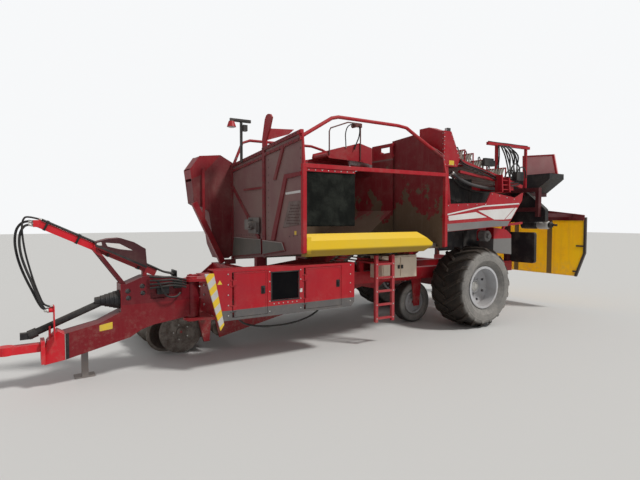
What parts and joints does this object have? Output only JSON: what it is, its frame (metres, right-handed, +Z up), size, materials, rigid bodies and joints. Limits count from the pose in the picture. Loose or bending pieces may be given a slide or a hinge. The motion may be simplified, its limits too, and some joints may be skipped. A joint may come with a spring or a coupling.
{
  "type": "towed potato harvester",
  "caption": "Towed two-row potato harvester with a tipping side bunker, rod webs, sorting table, articulated drawbar, lifting unit, ladder and rear curtain.",
  "frame": {"origin": "on the ground below the middle of the whole outline", "axes": "+X forward, towards the tractor; +Y to the machine's left; +Z up"},
  "size_m": [10.0099, 3, 3.6525],
  "materials": {
    "red_paint": "dusty satin paint",
    "maroon_paint": "faded, dusty paint",
    "pink_dust": "red paint under pale dust",
    "grey_dust": "dusty paint",
    "yellow_paint": "satin paint",
    "dark_steel": "dusty",
    "bare_steel": "worn bright",
    "rim_silver": "satin",
    "black_plastic": "matte",
    "black_rubber": "dusty",
    "tyre_rubber": "dusty",
    "orange_sheet": "coated sheet, dirty",
    "chrome_rod": "polished"
  },
  "bodies": {
    "chassis": {"main_frame": "red_paint", "axle_beam": "maroon_paint", "rear_frame": "red_paint", "web_channel": "red_paint", "webs": "dark_steel", "bunker_walls": "pink_dust", "bunker_floor": "dark_steel", "bunker_nose": "red_paint", "side_skirt": "red_paint", "warning_board": "yellow_paint", "side_panels": "red_paint", "elevator_head": "red_paint", "picking_table": "red_paint", "separator_rollers": "black_rubber", "rear_conveyor": "black_plastic", "deflector": "pink_dust", "table_rollers": "grey_dust", "deck_sheet": "black_rubber", "nose_bay": "pink_dust", "drive_motors": "dark_steel", "work_lamps": "black_plastic", "service_box": "pink_dust"},
    "bunker_head": {"head_frame": "maroon_paint", "head_grille": "bare_steel", "head_floor": "dark_steel", "head_sill": "yellow_paint", "mouth_curtain": "black_rubber"},
    "filling_belt": {"filling_conveyor": "red_paint", "conveyor_rails": "dark_steel"},
    "drawbar_unit": {"drawbar": "red_paint", "hose_arm": "red_paint", "pto_shaft": "black_plastic", "hose_upper": "black_rubber", "hose_lower": "black_rubber"},
    "stand": {"parking_stand": "grey_dust"},
    "cylinder_barrel": {"steering_barrel": "maroon_paint"},
    "cylinder_rod": {"steering_rod": "chrome_rod"},
    "door_front": {"skirt_door_front": "red_paint"},
    "door_rear": {"skirt_door_rear": "red_paint"},
    "side_ladder": {"ladder": "red_paint"},
    "curtain": {"curtain_frame": "dark_steel", "rear_curtain": "orange_sheet"},
    "lift_unit": {"lift_frame": "red_paint", "shares": "bare_steel"},
    "ridge_roller_l": {"ridge_roller_left": "dark_steel"},
    "ridge_roller_r": {"ridge_roller_right": "dark_steel"},
    "disc_l": {"disc_left": "bare_steel"},
    "disc_m": {"disc_middle": "bare_steel"},
    "disc_r": {"disc_right": "bare_steel"},
    "wheel_left": {"tyre_left": "tyre_rubber", "rim_left": "rim_silver"},
    "wheel_right": {"tyre_right": "tyre_rubber", "rim_right": "rim_silver"},
    "support_wheel": {"support_tyre": "tyre_rubber", "support_rim": "rim_silver"}
  },
  "joints": [
    {"name": "wheel_left_spin", "type": "hinge", "parent": "chassis", "child": "wheel_left", "pos_m": [-1.92, 1.145, 0.69], "axis": [0, 1, 0], "continuous": true},
    {"name": "wheel_right_spin", "type": "hinge", "parent": "chassis", "child": "wheel_right", "pos_m": [-1.92, -1.145, 0.69], "axis": [0, 1, 0], "continuous": true},
    {"name": "support_wheel_spin", "type": "hinge", "parent": "chassis", "child": "support_wheel", "pos_m": [-1.23, 0.375, 0.365], "axis": [0, 1, 0], "continuous": true},
    {"name": "drawbar_yaw", "type": "hinge", "parent": "chassis", "child": "drawbar_unit", "pos_m": [2.93, 0.8, 0.845], "axis": [0, 0, 1], "range_deg": [-21, 15]},
    {"name": "stand_fold", "type": "hinge", "parent": "drawbar_unit", "child": "stand", "pos_m": [4.16, 0.585, 0.56], "axis": [0, 1, 0], "range_deg": [0, 95]},
    {"name": "cylinder_swing", "type": "hinge", "parent": "chassis", "child": "cylinder_barrel", "pos_m": [2.8, 0.33, 1.02], "axis": [0, 0, 1], "range_deg": [-13.34, 9.67]},
    {"name": "cylinder_stroke", "type": "slide", "parent": "cylinder_barrel", "child": "cylinder_rod", "axis": [0.9317, 0.3631, 0], "range_m": [-0.1495, 0.1073]},
    {"name": "bunker_tilt", "type": "hinge", "parent": "chassis", "child": "bunker_head", "pos_m": [0.36, 0.3, 1.333], "axis": [1, 0, 0], "range_deg": [0, 20]},
    {"name": "filling_belt_lower", "type": "hinge", "parent": "chassis", "child": "filling_belt", "pos_m": [-1.3, -0.745, 2.88], "axis": [0, 1, 0], "range_deg": [0, 10]},
    {"name": "door_front_swing", "type": "hinge", "parent": "chassis", "child": "door_front", "pos_m": [2.614, 1.422, 0.945], "axis": [0, 0, -1], "range_deg": [0, 110]},
    {"name": "door_rear_swing", "type": "hinge", "parent": "chassis", "child": "door_rear", "pos_m": [1.614, 1.422, 0.945], "axis": [0, 0, -1], "range_deg": [0, 110]},
    {"name": "ladder_fold", "type": "hinge", "parent": "chassis", "child": "side_ladder", "pos_m": [0.06, 1.358, 1.275], "axis": [0, 1, 0], "range_deg": [0, 80]},
    {"name": "curtain_swing", "type": "hinge", "parent": "chassis", "child": "curtain", "pos_m": [-4.97, 0, 1.93], "axis": [0, 1, 0], "range_deg": [0, 60]},
    {"name": "lift", "type": "hinge", "parent": "chassis", "child": "lift_unit", "pos_m": [2.03, -0.49, 0.86], "axis": [0, -1, 0], "range_deg": [0, 12]},
    {"name": "ridge_roller_l_spin", "type": "hinge", "parent": "lift_unit", "child": "ridge_roller_l", "pos_m": [3.11, -0.115, 0.29], "axis": [0, 1, 0], "continuous": true},
    {"name": "ridge_roller_r_spin", "type": "hinge", "parent": "lift_unit", "child": "ridge_roller_r", "pos_m": [3.11, -0.865, 0.29], "axis": [0, 1, 0], "continuous": true},
    {"name": "disc_l_spin", "type": "hinge", "parent": "lift_unit", "child": "disc_l", "pos_m": [2.93, 0.29, 0.315], "axis": [0, 1, 0], "continuous": true},
    {"name": "disc_m_spin", "type": "hinge", "parent": "lift_unit", "child": "disc_m", "pos_m": [2.93, -0.49, 0.315], "axis": [0, 1, 0], "continuous": true},
    {"name": "disc_r_spin", "type": "hinge", "parent": "lift_unit", "child": "disc_r", "pos_m": [2.93, -1.27, 0.315], "axis": [0, 1, 0], "continuous": true}
  ],
  "couplings": [
    {"joint": "cylinder_swing", "follows": "drawbar_yaw", "ratio": 0.6113},
    {"joint": "cylinder_stroke", "follows": "drawbar_yaw", "m_per_rad": 0.4024}
  ]
}
